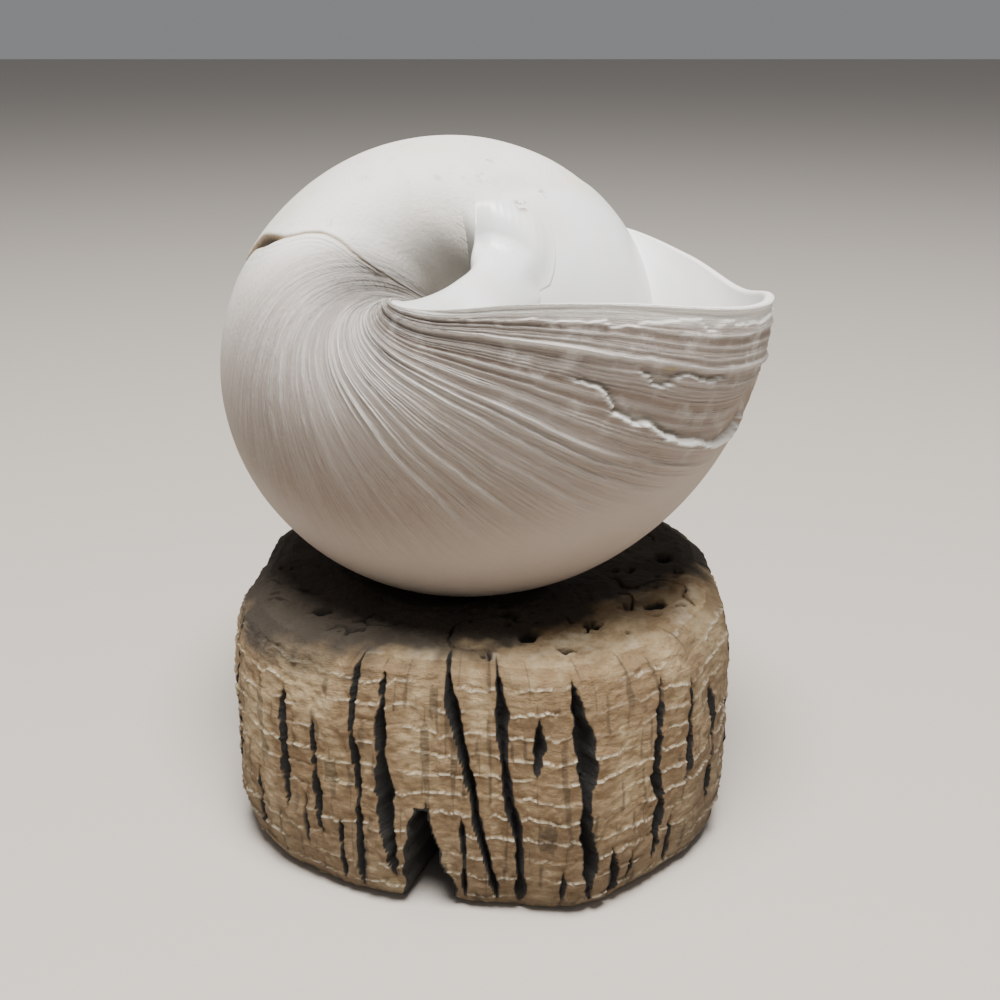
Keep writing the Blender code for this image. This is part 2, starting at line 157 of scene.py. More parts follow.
SHORT_CHANNELS = (
    (-13.5, -13.5, 8, 18, 1.0, 1.6), (9.5, 9.5, 1, 13, 1.1, 1.8), (31, 30.5, 1, 10, 1.4, 2.2),
    (-35.5, -36, 2, 13, 0.8, 1.4), (-45, -45.5, 6, 16, 0.7, 1.2), (0.5, 0.5, 10, 16, 0.9, 1.2),
    (14, 13, 24, 33, 1.4, 2.0), (-4, -5, 1, 16, 0.8, 1.4), (19, 18.5, 2, 8, 0.7, 1.2),
    (-60, -60, 4, 16, 0.8, 1.2), (36, 36, 3, 9, 0.7, 1.0), (48, 48, 2, 12, 0.9, 1.4))
NOTCH_PLACE = -8.0
NOTCH_OUTLINE = ((-2.0, -3.2, 4.8), (3.5, -2.7, 3.9), (8.0, -2.4, 2.0), (13.0, -2.1, 0.9), (17.0, -1.2, -0.5))
NOTCH_DEPTH = 13.0
PITS = ((7.1, -22.2, 1.6), (12.5, -27.0, 1.5), (16.4, -19.2, 1.4), (26.9, -12.1, 1.8),
        (30.2, 5.4, 1.9), (-24.0, -14.0, 1.6), (5.0, 24.0, 1.8))
SEAT_DEPTH = 1.5
SEAT_RADIUS = 42.0
SEAT_PLACE = (-6.5, -1.2)
LAYER_STEP = 3.4
FRONT_COLUMNS = 430
BACK_COLUMNS = 140
SIDE_ROWS = 158
FOOT_HEIGHT = 1.2
SPECK_SEED = 5
SPECKS = 70

# Colours, from the plain surface to what lies on it
CHALK, CREAM = (0.84, 0.81, 0.76), (0.77, 0.72, 0.65)
# The valley colour on the next line is painted shade between the growth ridges, and the last colour on the
# line after it is a painted highlight on their crests.
LINED, VALLEY_PAINTED_SHADE, HAIRLINE = (0.62, 0.55, 0.52), (0.36, 0.28, 0.25), (0.34, 0.26, 0.23)
BAND_BROWN, CLOUDY, CREST_PAINTED_HIGHLIGHT = (0.235, 0.175, 0.14), (0.58, 0.50, 0.40), (0.88, 0.86, 0.82)
# Of these, the last is painted shade with warm bounce light, for the shell's lower part.
PEARL, WARM_PEARL, LOWER_PAINTED_SHADE = (0.86, 0.87, 0.87), (0.85, 0.82, 0.76), (0.25, 0.185, 0.135)
FRESH_BREAK, GOLDEN, CRACK_DIRT = (0.95, 0.93, 0.87), (0.36, 0.25, 0.13), (0.07, 0.055, 0.04)
# The hollow grey is painted shade, in the umbilicus and along the broken edges.
PAINTED_SHADE_GREY = (0.085, 0.078, 0.058)
SPECK_BROWN, PATCH_YELLOW, SPECK_GREEN = (0.24, 0.15, 0.08), (0.82, 0.70, 0.50), (0.36, 0.30, 0.10)
CORK_LIGHT, CORK_DEEP, CORK_PALE = (0.44, 0.32, 0.175), (0.31, 0.21, 0.105), (0.53, 0.42, 0.26)
CORK_STAIN, CORK_DUST, CORK_GRAIN = (0.17, 0.095, 0.04), (0.17, 0.11, 0.06), (0.15, 0.10, 0.06)
# Of the next three colours, the middle one is painted shade mixed with dark staining.
CORK_LINE, CORK_SHADE_AND_DARK_STAIN, CORK_HOLE = (0.78, 0.70, 0.53), (0.030, 0.023, 0.016), (0.012, 0.010, 0.008)
FLOOR = (0.52, 0.47, 0.42, 1.0)

# Camera and light
CAMERA_PLACE = (0.0029, -0.192, 0.1264)
CAMERA_TILT = 69
CAMERA_LENS = 46.8
CAMERA_SENSOR = 36.0
SKY = (0.78, 0.80, 0.83, 1.0)
SKY_STRENGTH = 0.30


def smoothstep(low, high, value):
    share = np.clip((value - low) / (high - low), 0.0, 1.0)
    return share * share * (3 - 2 * share)


def bump(centre, half_width, value):
    return np.exp(-((value - centre) / half_width) ** 2)


def noise(x, y, seed):
    """Smooth value noise from -1 to 1, one cell to a unit, the same on each run."""
    table = np.random.default_rng(seed).uniform(-1, 1, (128, 128))
    x, y = np.broadcast_arrays(x, y)
    column, row = np.floor(x).astype(int), np.floor(y).astype(int)
    fx, fy = x - column, y - row
    fx, fy = fx * fx * (3 - 2 * fx), fy * fy * (3 - 2 * fy)
    here, right = column % 128, (column + 1) % 128
    low, high = row % 128, (row + 1) % 128
    below = table[here, low] * (1 - fx) + table[right, low] * fx
    above = table[here, high] * (1 - fx) + table[right, high] * fx
    return below * (1 - fy) + above * fy


def rough_noise(x, y, seed, octaves=3):
    return sum(noise(x * 2**k, y * 2**k, seed + k) / 2**k for k in range(octaves))


def section(around, inset=0.0):
    """Distance from the axis and height of the mouth's outline, moved inwards by inset."""
    t = np.radians(around)
    tilt = math.radians(SECTION_TILT)
    swell = 1 + SECTION_ROUNDING * np.cos(2 * t) + SECTION_SKEW * np.sin(2 * t)
    across = (SECTION_HALF_WIDTH - inset) * np.cos(t) * swell
    along = (SECTION_HALF_LENGTH - inset) * np.sin(t) * swell
    distance = SECTION_AXIS_DISTANCE + math.cos(tilt) * across - math.sin(tilt) * along
    height = SECTION_HEIGHT + math.sin(tilt) * across + math.cos(tilt) * along
    return distance, height


def plane_lead(around):
    """Lead of a lip that lies in one slanted and slightly twisted plane."""
    distance, height = section(around)
    slope = math.tan(math.radians(LIP_PLANE_SLANT))
    sine = slope * (height - SECTION_HEIGHT) / np.maximum(distance, 0.1)
    twist = LIP_PLANE_TWIST * (1 - distance / MOUTH_RADIUS)
    return np.degrees(np.arcsin(np.clip(sine, -0.93, 0.93))) + twist


def base_lead(around):
    """Lead over the base, where the lip swings back into the umbilicus."""
    start, end = BASE_SWEEP_START, UMBILICUS_SWEEP_END
    span = end - start
    x = np.minimum((around - start) / span, 1.15)
    first = plane_lead(start)
    first_slope = plane_lead(start + 0.5) - plane_lead(start - 0.5)
    return ((2 * x**3 - 3 * x**2 + 1) * first + (x**3 - 2 * x**2 + x) * span * first_slope
            + (3 * x**2 - 2 * x**3) * UMBILICUS_LAG + (x**3 - x**2) * span * UMBILICUS_LAG_SLOPE)


def lead(around):
    """How far a growth line runs ahead of its stage."""
    hidden = smoothstep(HIDDEN_FROM, HIDDEN_TO, around)
    upper = plane_lead(np.minimum(around, HIDDEN_FROM)) * (1 - hidden) + base_lead(-200.0) * hidden
    return np.where(around < BASE_SWEEP_START, base_lead(around), upper)


def shell_points(stage, around, inset=0.0, sweep=1.0):
    """Places on the growing tube, in the shell's own frame with the apex at its origin."""
    distance, height = section(around, inset)
    turn = np.radians(stage + sweep * lead(around))
    size = GROWTH_PER_TURN ** (turn / (2 * math.pi))
    z = size * height
    squashed = SPIRE_START + SPIRE_DEPTH * (1 - np.exp(-np.maximum(z - SPIRE_START, 0) / SPIRE_DEPTH))
    z = np.where(z > SPIRE_START, squashed, z)
    return np.stack([size * distance * np.cos(turn), -size * distance * np.sin(turn), z], axis=-1)


def lip_reach(around):
    """How far the lip reaches past its plane: forwards at the suture, worn back above the middle."""
    shown = smoothstep(HIDDEN_TO, HIDDEN_FROM, around)
    return LIP_FORWARD * smoothstep(60, 92, around) * shown - LIP_WORN * bump(44, 17, around)


def near_lip(stage, around):
    """The stage, moved with the lip's outline close to the lip."""
    return stage + lip_reach(around) * bump(0, LIP_WORN_BACK, stage)


def wall(stage, around):
    """Thickness of the shell, which grows inwards and towards the columella."""
    depth = np.minimum(-stage / WALL_GROWS_OVER, 1.0)
    columella = COLUMELLA_WALL * smoothstep(-110, -150, around)
    return LIP_WALL + (INNER_WALL - LIP_WALL) * depth + columella


def scar_line(around):
    """Stage of the healed break."""
    return -176.0 + 18.0 * smoothstep(-60, -120, around) + 53.0 * smoothstep(-110, -160, around)


def ridge_strength(stage, around):
    """1 where growth lines stand out; they fade towards the widest place on older shell."""
    fades_at = np.interp(stage, (-103, -56, -40, -31, -10, 0), (-26, -26, -17, -1, 30, 40))
    younger = smoothstep(-165, -105, stage)
    return smoothstep(fades_at + 12, fades_at - 28, around) * smoothstep(-172, -140, around) * younger


def growth_relief(stage, around):
    """Height of the growth ridges, from the strong ones to hairlines."""
    wander = 0.55 * noise(around / 19, stage / 14, 3) + 0.16 * noise(around / 3.5, stage / 5, 4)
    place = stage + wander
    relief = 0.0
    for at, height, half in STRONG_RIDGES:
        vary = 0.75 + 0.5 * noise(around / 23, at, 5)
        relief = relief + height * vary * np.exp(-np.abs(place - at) / half)
    random = np.random.default_rng(FINE_RIDGE_SEED)
    at, fine_end = FINE_RIDGES
    while at > fine_end:
        height, half = random.uniform(0.06, 0.34), random.uniform(0.18, 0.36)
        relief = relief + height * np.exp(-np.abs(place - at) / half)
        at -= random.uniform(0.7, 1.9)
    random = np.random.default_rng(RADIAL_RIDGE_SEED)
    while at > RADIAL_RIDGES_TO:
        height, half = random.uniform(0.14, 0.66), random.uniform(0.35, 0.85)
        vary = 0.7 + 0.6 * noise(around / 25, at, 6)
        relief = relief + height * vary * np.exp(-np.abs(place - at) / half)
        at -= random.uniform(1.6, 4.2)
    return relief * ridge_strength(stage, around)


def polyline(points, around):
    """Stage of a line given by (around, stage) corners, at each angle around."""
    at, stages = zip(*points)
    return np.interp(around, at, stages)


BROKEN_EDGE = ((-64, -16.8), (-52, -17.2), (-46, -18.4), (-42, -20.6), (-37, -21.2), (-31, -21.4),
               (-25, -21.8), (-13, -23.6), (-5, -23.3), (3, -24.0), (14, -23.6), (17, -21.5))
UPPER_CHIPS = ((-42, -12.4), (-38, -12.9), (-35, -14.1), (-31, -14.2), (-27.5, -11.5), (-25, -11.2),
               (-18, -12.0), (-15, -12.1), (-12, -11.4))
WORN_RIM = ((-110, -4.4), (-94, -4.9), (-90, -3.9), (-79, -4.0), (-66, -3.5), (-60, -4.4), (-45, -3.0),
            (-30, -2.1), (-26, -3.0), (-23, -3.4), (-19, -1.9), (-10, -2.6), (10, -2.2))


def broken_layer(stage, around):
    """Recess where the outer layer has flaked off, how fresh and white its edge is, and painted shadow beside
    its edges.
    """
    jag = 0.30 * noise(around / 0.9, 0.0, 31) + 0.5 * noise(around / 4.0, 0.0, 32)
    past = stage - polyline(BROKEN_EDGE, around) - jag
    inside = smoothstep(18.0, 16.4, around) * smoothstep(-66, -58, around)
    depth = 0.95 * smoothstep(0, 0.45, past) * smoothstep(-10.6, -19.5, stage)
    rim = 0.30 * smoothstep(-3.0, -0.3, past) * smoothstep(0.3, 0.0, past)
    edge_half = 0.34 + 0.16 * noise(around / 2.4, 0.0, 34)
    fresh = np.exp(-((past - 0.05) / edge_half) ** 4) * smoothstep(-10.6, -12.0, stage)
    chip = stage - polyline(UPPER_CHIPS, around) - 0.25 * noise(around / 1.1, 0.0, 33)
    chipped = smoothstep(-44, -40, around) * smoothstep(-10, -13, around)
    depth_up = 0.7 * smoothstep(0, 0.35, chip) * smoothstep(-10.4, -11.0, stage) * chipped
    fresh_up = np.exp(-((chip - 0.05) / 0.30) ** 4) * chipped
    relief = (rim - depth) * inside - depth_up
    # Painted shadow: a thin dark line just above the broken edge, and above the upper chips.
    shade = np.exp(-((past - 0.95) / 0.45) ** 2) * smoothstep(-8, -16, around)
    shade = shade + 0.6 * np.exp(-((chip - 0.62) / 0.26) ** 2) * chipped
    return relief, np.maximum(fresh * inside, fresh_up), smoothstep(0, 0.8, past) * inside, shade * inside


def worn_rim(stage, around):
    """The lip's outermost layers, broken back in small steps, with whitish edges."""
    jag = 0.5 * noise(around / 2.3, 0.0, 35) + 0.25 * noise(around / 0.9, 0.0, 36)
    past = stage - polyline(WORN_RIM, around) - jag
    span = smoothstep(-125, -105, around) * smoothstep(60, 20, around)
    return -0.42 * smoothstep(0, 0.4, past) * span, np.exp(-((past - 0.02) / 0.24) ** 4) * span


def scar_relief(stage, around):
    """The healed break: an open crack on the left that runs on as a fine seam."""
    x = (stage - scar_line(around)) - 0.8 * noise(around / 7, 0.0, 41) - 0.3 * noise(around / 2, 0.0, 42)
    shown = smoothstep(-172, -150, around) * smoothstep(30, 0, around)
    gap = smoothstep(-100, -80, around) * smoothstep(30, -20, around)
    crack = (0.45 + 1.9 * gap) * np.exp(-(x / (0.6 + 1.6 * gap)) ** 2)
    crest = (0.30 + 0.25 * gap) * np.exp(-np.abs(x + 2.6) / 1.4)
    flakes = sum(h * np.exp(-np.abs(x - at) / 0.7) for at, h in ((3.6, 0.35), (6.5, 0.22), (9.5, 0.15)))
    flakes = flakes * smoothstep(-152, -140, around) * smoothstep(-60, -80, around)
    dirt = np.exp(-(x / (1.3 + 1.3 * gap)) ** 2) * shown * (0.35 + 0.65 * gap)
    return (crest - crack + flakes) * shown, dirt


CALLUS_MARGIN = ((-200, -245), (-122, -249), (-113, -252), (-97, -274), (-46, -296), (-15, -300),
                 (20, -302), (60, -303), (128, -303))


def callus_glaze(stage, around):
    """1 on the thin glaze that the callus spreads over the previous whorl."""
    edge = polyline(CALLUS_MARGIN, around) + 1.5 * noise(around / 9, 0.0, 51)
    near_mouth = smoothstep(-560, -440, stage) * smoothstep(100, 76, around)
    return smoothstep(edge + 2.5, edge - 2.5, stage) * near_mouth


def stained_bands(stage, around):
    """Brown stain that sits between the ridges near the lip, mostly beside the umbilicus."""
    near_umbilicus = smoothstep(-152, -140, around) * smoothstep(-70, -112, around)
    bands = bump(-5.6, 1.7, stage) + 0.7 * bump(-8.6, 0.8, stage) + 0.5 * bump(-14.5, 3.0, stage)
    faint = smoothstep(-34, -17, stage) * smoothstep(-2.6, -4.5, stage)
    return np.clip(bands * near_umbilicus + faint, 0, 1)


def outside_relief(stage, around):
    """Height of all relief on the outside, and the masks that colour it, with painted shade in the ridges'
    valleys and a painted highlight on their crests.
    """
    growth = growth_relief(stage, around)
    broken, fresh, recess, edge_shade = broken_layer(stage, around)
    rim, rim_fresh = worn_rim(stage, around)
    scar, scar_dirt = scar_relief(stage, around)
    glaze = callus_glaze(stage, around)
    dents = 0.12 * rough_noise(stage / 26, around / 30, 61)
    relief = growth * (1 - 0.35 * recess) + broken + rim + scar + dents + 0.25 * glaze
    strength = ridge_strength(stage, around)
    lip_edge = 0.85 * smoothstep(-3.0, -1.9, stage + 0.5 * noise(around / 7, 0.0, 62))
    lip_edge = lip_edge * smoothstep(-150, -140, around)
    masks = np.stack([glaze, scar_dirt, np.clip(fresh + rim_fresh + lip_edge, 0, 1), strength], axis=-1)
    # Painted shade in the valleys between the growth ridges, and a painted highlight on their crests.
    valley_painted_shade = strength * np.exp(-growth / 0.16)
    crest = np.clip(growth / 0.55, 0, 1)
    # Painted shadow along the broken edges.
    shade = 0.8 * np.clip(edge_shade, 0, 1)
    shape = np.stack([valley_painted_shade, crest, stained_bands(stage, around), shade], axis=-1)
    return relief, masks, shape


def shell_matrix():
    """The shell's place and rest attitude: its base faces forwards and its mouth upwards."""
    azimuth, dip, roll = (math.radians(a) for a in (APEX_AZIMUTH, APEX_DIP, SHELL_ROLL))
    apex = Vector((math.sin(azimuth) * math.cos(dip), math.cos(azimuth) * math.cos(dip), math.sin(dip)))
    level = apex.cross(Vector((0, 0, 1))).normalized()
    upright = level.cross(apex)
    x_axis = math.cos(roll) * level + math.sin(roll) * upright
    y_axis = apex.cross(x_axis)
    turn = Matrix((x_axis, y_axis, apex)).transposed().to_4x4()
    return Matrix.Scale(MM, 4) @ Matrix.Translation(SHELL_ORIGIN) @ turn


def quad_faces(rows, columns, closed=False, flip=False):
    """Corner numbers of the quads of a grid, closed round its columns if asked."""
    row = np.arange(rows - 1)[:, None] * columns
    column = np.arange(columns if closed else columns - 1)[None, :]
    after = (column + 1) % columns
    corners = [row + column, row + after, row + columns + after, row + columns + column]
    if flip:
        corners = corners[::-1]
    return np.stack(corners, axis=-1).reshape(-1, 4)


def mesh_object(name, points, faces, matrix, layers, uv=None):
    """An object from points, quads, and named colour layers with a value at each point."""
    data = bpy.data.meshes.new(name)
    data.from_pydata(points.reshape(-1, 3).tolist(), [], faces.tolist())
    data.transform(matrix)
    for layer, values in layers.items():
        attribute = data.attributes.new(layer, "FLOAT_COLOR", "POINT")
        attribute.data.foreach_set("color", values.reshape(-1).astype(np.float32))
    if uv is not None:
        corner = np.empty(len(data.loops), dtype=np.int32)
        data.loops.foreach_get("vertex_index", corner)
        growth = data.uv_layers.new(name="growth")
        growth.data.foreach_set("uv", uv.reshape(-1, 2)[corner].reshape(-1).astype(np.float32))
    data.shade_smooth()
    data.update()
    thing = bpy.data.objects.new(name, data)
    bpy.context.scene.collection.objects.link(thing)
    return thing


def last_whorl_stages(around):
    """Rows of stages from before the scar to the lip, close together where relief is fine."""
    scar = scar_line(around)
    before = [scar - (scar - LAST_WHORL_FROM) * (1 - k / ROWS_BEFORE_SCAR) ** 1.4
              for k in range(ROWS_BEFORE_SCAR)]
    after = [scar + (NEAR_LIP_FROM - scar) * (k / ROWS_AFTER_SCAR) ** 1.35
             for k in range(ROWS_AFTER_SCAR)]
    near = [np.full_like(around, NEAR_LIP_FROM - NEAR_LIP_FROM * k / (ROWS_NEAR_LIP - 1))
            for k in range(ROWS_NEAR_LIP)]
    return np.array(before + after + near)


def painted_shade_under_rim(points, rim):
    """Painted shade in the umbilicus, deepest right under the overhanging edge of the callus."""
    flat = points.reshape(-1, 3)
    away = np.full(len(flat), np.inf)
    for place in rim:
        away = np.minimum(away, np.linalg.norm(flat - place, axis=-1))
    dark = sum(share * np.exp(-(away / reach) ** 2) for reach, share in UMBILICUS_SHADE_REACHES)
    return dark.reshape(points.shape[:-1])


def rounded_lip(around):
    """Rows that carry the skin round the lip's edge, from the outside to the inside."""
    rows = []
    for k in range(1, LIP_ROWS + 1):
        angle = math.pi * k / (LIP_ROWS + 1)
        share = (1 - math.cos(angle)) / 2
        columella = COLUMELLA_WALL * smoothstep(-110, -150, around) * share
        forward = lip_reach(around) + LIP_ROUNDING * math.sin(angle)
        rows.append(shell_points(forward, around, LIP_WALL * share + columella))
    return np.array(rows)


def mouth_inside(around):
    """Stages and points of the skin inside the mouth, swept straight as it goes in."""
    depth = -MOUTH_DEPTH * (np.linspace(0, 1, MOUTH_ROWS)[:, None]) ** 1.5 + 0 * around
    sweep = smoothstep(-MOUTH_DEPTH, -MOUTH_SWEPT_TO, depth)
    folds = 0.25 * rough_noise(depth / 40, around / 24, 71) * smoothstep(0, -12, depth)
    return depth, shell_points(near_lip(depth, around), around, wall(depth, around) + folds, sweep)


def inner_masks(columns):
    """Masks of the lip and the inside: glazed, with a whitish edge."""
    masks = np.zeros((LIP_ROWS + MOUTH_ROWS, columns, 4))
    masks[..., 0] = 1.0
    masks[:12, :, 0] = np.linspace(0.2, 1, 12)[:, None]
    masks[:6, :, 2] = 0.6
    return masks


def whorl_piece(matrix, rim):
    """The last whorl's outside, its lip and the inside of the mouth, as one skin."""
    around = np.linspace(FIRST_COLUMN, LAST_COLUMN, LAST_WHORL_COLUMNS)
    stage = last_whorl_stages(around)
    turned = np.broadcast_to(around, stage.shape)
    relief, masks, shape = outside_relief(stage, turned)
    relief = relief * smoothstep(0.0, -0.8, stage)
    outside = shell_points(near_lip(stage, turned), turned, -relief)
    hidden = smoothstep(-60, -85, stage) * smoothstep(-115, -140, turned)
    hidden = np.maximum(hidden, smoothstep(-150, -163, turned))
    # Painted shade in the umbilicus, under the callus's edge.
    shape[..., 3] = np.maximum(shape[..., 3], painted_shade_under_rim(outside, rim) * hidden)
    depth, inside = mouth_inside(around)
    points = np.concatenate([outside, rounded_lip(around), inside])
    inner = inner_masks(len(around))
    plain = np.zeros_like(inner)
    stages = np.concatenate([stage, np.zeros((LIP_ROWS, len(around))), depth])
    uv = np.stack([stages / 360, np.broadcast_to(around / 360, stages.shape)], axis=-1)
    layers = {"masks": np.concatenate([masks, inner]), "shape": np.concatenate([shape, plain]),
              "marks": marks(points)}
    return mesh_object("shell_whorl", points, quad_faces(*points.shape[:2]), matrix, layers, uv)


def older_piece(matrix, rim):
    """The previous whorl and the spire, as far as they show."""
    body_around = np.linspace(FIRST_COLUMN, LAST_COLUMN, 130)
    body_stage = np.linspace(*PREVIOUS_WHORL, 220)[:, None] + 0 * body_around
    body_turned = body_stage * 0 + body_around
    relief, masks, shape = outside_relief(body_stage, body_turned)
    body = shell_points(body_stage, body_around, -relief)
    shape[..., 3] = painted_shade_under_rim(body, rim) * smoothstep(-110, -124, body_turned)
    spire_around = np.linspace(*SPIRE_COLUMNS, 60)
    spire_stage = np.linspace(APEX_CLOSED_AT, SPIRE_TO, 380)[:, None] + 0 * spire_around
    sweep = smoothstep(OLDEST_STAGE, OLDEST_STAGE + SWEEP_GROWS_OVER, spire_stage)
    spire = shell_points(spire_stage, spire_around, 0.0, sweep)
    plain = np.zeros((spire_stage.size, 4))
    points = np.concatenate([body.reshape(-1, 3), spire.reshape(-1, 3)])
    faces = np.concatenate([quad_faces(*body_stage.shape),
                            quad_faces(*spire_stage.shape) + body_stage.size])
    uv = np.concatenate([
        np.stack([body_stage / 360, body_turned / 360], axis=-1).reshape(-1, 2),
        np.stack([spire_stage / 360, spire_stage * 0 + spire_around / 360], axis=-1).reshape(-1, 2)])
    layers = {"masks": np.concatenate([masks.reshape(-1, 4), plain]),
              "shape": np.concatenate([shape.reshape(-1, 4), plain]), "marks": marks(points)}
    return mesh_object("shell_older", points, faces, matrix, layers, uv)


BROWN, YELLOW, GREEN = 0, 1, 2
SPOTS = (  # stage, around, radius, strength, colour
    (-285.6, -88, 1.9, 1.0, BROWN), (-290.8, -65, 1.0, 0.8, BROWN), (-264, -88, 1.2, 0.9, GREEN),
    (-266.8, -67, 0.9, 0.7, GREEN), (-254.8, -96, 0.8, 0.5, BROWN), (-239.2, -100, 0.8, 0.5, BROWN),
    (-221.2, -104, 0.8, 0.5, BROWN), (-209.2, -97, 0.9, 0.5, GREEN), (-166.8, -113, 0.9, 0.8, BROWN),
    (-300, -78, 6.0, 0.7, YELLOW), (-297.6, -23, 5.0, 1.0, YELLOW), (-240, -70, 9.0, 0.5, YELLOW),
    (-10.8, -32, 1.0, 1.0, GREEN), (-101.6, -81, 1.6, 0.6, BROWN), (-190, -60, 9.0, 0.4, YELLOW))


def marks(points):
    """Stains on the shell as masks: brown specks, yellow patches, green specks."""
    flat = points.reshape(-1, 3)
    values = np.zeros((len(flat), 4))
    for stage, around, radius, strength, colour in SPOTS:
        centre = shell_points(np.array(stage), np.array(around))
        away = np.linalg.norm(flat - centre, axis=-1)
        values[:, colour] = np.maximum(values[:, colour], strength * smoothstep(radius, 0.2 * radius, away))
    return values


def callus_root(share):
    """Stage and around where the callus meets the previous whorl, from umbilicus to mouth."""
    return -255 - 70 * share, -122 + 27 * share


def callus_end(share):
    """Stage and around where the callus has thinned out to nothing on the previous whorl."""
    return -260 - 34 * share, -95 + 26 * share


def bent(start, middle, end, share):
    """A curve from start to end, drawn towards middle."""
    share = share[..., None]
    return start * (1 - share) ** 2 + middle * 2 * share * (1 - share) + end * share ** 2


def callus_grid(s, v):
    """The callus surface: a patch between its four edges, swollen in its middle."""
    def along_lip(share):
        return shell_points(np.full_like(share, -1.8), -152 + 59 * share, 0.3)

    def along_body(share):
        return shell_points(*callus_root(share), 0.6)

    zero, one = np.zeros_like(s), np.ones_like(s)
    corners = [along_lip(zero), along_lip(one), along_body(zero), along_body(one)]
    left = bent(corners[0], np.array(CALLUS_OVER_UMBILICUS), corners[2], v)
    right = bent(corners[1], np.array(CALLUS_INTO_MOUTH), corners[3], v)
    s1, v1 = s[..., None], v[..., None]
    patch = along_lip(s) * (1 - v1) + along_body(s) * v1 + left * (1 - s1) + right * s1
    patch -= ((corners[0] * (1 - s1) + corners[1] * s1) * (1 - v1)
              + (corners[2] * (1 - s1) + corners[3] * s1) * v1)
    rise = np.sqrt(np.sin(np.pi * np.minimum(v1, 0.5))) * smoothstep(1.0, 0.55, v1)
    swelling = CALLUS_SWELLING * np.sin(np.pi * s1) * rise
    return patch + np.array(CALLUS_NORMAL) * swelling


def between_sides(s):
    """1 in the middle of the callus, falling towards the umbilicus and to 0 at the mouth."""
    return (0.35 + 0.65 * smoothstep(0.0, 0.25, s)) * smoothstep(1.0, 0.65, s)


def laid_on_body(points, v, side):
    """Points of the callus, eased towards the previous whorl so that the two run together."""
    around = np.linspace(-200, 40, 90)
    stage = np.linspace(-420, -225, 120)[:, None] + 0 * around
    skin = shell_points(stage, around, -0.25 * callus_glaze(stage, stage * 0 + around))
    tree = BVHTree.FromPolygons(skin.reshape(-1, 3).tolist(), quad_faces(*stage.shape).tolist())
    middle = points[len(points) // 2, points.shape[1] // 2]
    place, normal, _, _ = tree.find_nearest(middle.tolist())
    outwards = 1.0 if (Vector(middle) - place).dot(normal) > 0 else -1.0
    laid = points.copy()
    for row, column in np.ndindex(points.shape[:2]):
        reach = CALLUS_BLEND * smoothstep(0.3, 1.0, v[row, column]) * side[column]
        if reach < 0.05:
            continue
        place, normal, _, _ = tree.find_nearest(points[row, column].tolist())
        away = (Vector(points[row, column]) - place).dot(normal) * outwards
        lift = (math.sqrt(away * away + reach * reach) - away) / 2
        laid[row, column] += np.array(normal) * outwards * lift
    return laid


def callus_skirt(edge, s, rows):
    """The callus thinning out over the previous whorl, from its edge to nothing."""
    share = np.linspace(0, 1, rows + 1)[1:, None]
    first_stage, first_around = callus_root(s)
    last_stage, last_around = callus_end(s)
    stage = first_stage + (last_stage - first_stage) * share
    around = first_around + (last_around - first_around) * share
    relief, masks, _ = outside_relief(stage, around)
    on_body = shell_points(stage, around, 0.06 - relief)
    start = shell_points(first_stage, first_around, 0.06 - relief[:1])
    fall = smoothstep(1.0, 0.0, share)
    points = on_body + (edge - start) * fall[..., None]
    glaze = masks[..., 0] + (1 - masks[..., 0]) * smoothstep(0.8, 0.1, share)
    return points, glaze


def callus_piece(matrix, top, v, glaze):
    """The callus, with both free edges rolled under and carried down into the shell."""
    inwards = np.array(CALLUS_INWARDS)
    inwards /= np.linalg.norm(inwards)

    def rolled(edge, next_in, radius):
        out = edge - next_in
        out /= np.linalg.norm(out, axis=-1, keepdims=True)
        free = smoothstep(1.1, 0.85, v)
        columns = []
        for angle in np.radians(CALLUS_EDGE_TURNS):
            drop = radius * (1 - math.cos(angle))
            columns.append(edge + free * (out * radius * math.sin(angle) + inwards * drop))
        for reach in CALLUS_EDGE_DEPTHS:
            deepest = CALLUS_EDGE_DEPTHS[-1] * np.sin(np.pi * np.minimum(v, 1)) + radius
            fall = np.minimum(reach, deepest)
            columns.append(edge + free * (out * radius + inwards * (radius + fall)))
        return columns

    left = rolled(top[:, 0], top[:, 1], CALLUS_LEFT_ROLL)
    right = rolled(top[:, -1], top[:, -2], CALLUS_RIGHT_ROLL)
    points = np.stack(left[::-1] + [top[:, k] for k in range(top.shape[1])] + right, axis=1)
    masks = np.zeros((*points.shape[:2], 4))
    masks[..., 0] = np.pad(glaze, ((0, 0), (len(left), len(right))), mode="edge")
    shape = np.zeros_like(masks)
    layers = {"masks": masks, "shape": shape, "marks": marks(points)}
    uv = np.zeros((*points.shape[:2], 2))
    return mesh_object("shell_callus", points, quad_faces(*points.shape[:2]), matrix, layers, uv)


def make_shell():
    """The shell's three skins: last whorl, older whorls and callus."""
    matrix = shell_matrix()
    v = np.linspace(0, CALLUS_TUCKED_UNDER, CALLUS_ROWS)[:, None]
    s = np.linspace(0, 1, CALLUS_COLUMNS)[None, :]
    pad = laid_on_body(callus_grid(s + 0 * v, v + 0 * s), v + 0 * s, between_sides(s[0]))
    skirt, skirt_glaze = callus_skirt(pad[-1], s, SKIRT_ROWS)
    top = np.concatenate([pad, skirt])
    glaze = np.concatenate([smoothstep(-0.02, 0.10, v) + 0 * s, skirt_glaze])
    beyond = CALLUS_TUCKED_UNDER + SKIRT_SPAN * np.linspace(0, 1, SKIRT_ROWS + 1)[1:, None]
    v = np.concatenate([v, beyond])
    rim = pad[5:70:3, 0]
    return whorl_piece(matrix, rim), older_piece(matrix, rim), callus_piece(matrix, top, v, glaze)


def turned_apart(direction, middle):
    """Degrees between two directions round the stand."""
    return np.abs((direction - middle + 180) % 360 - 180)


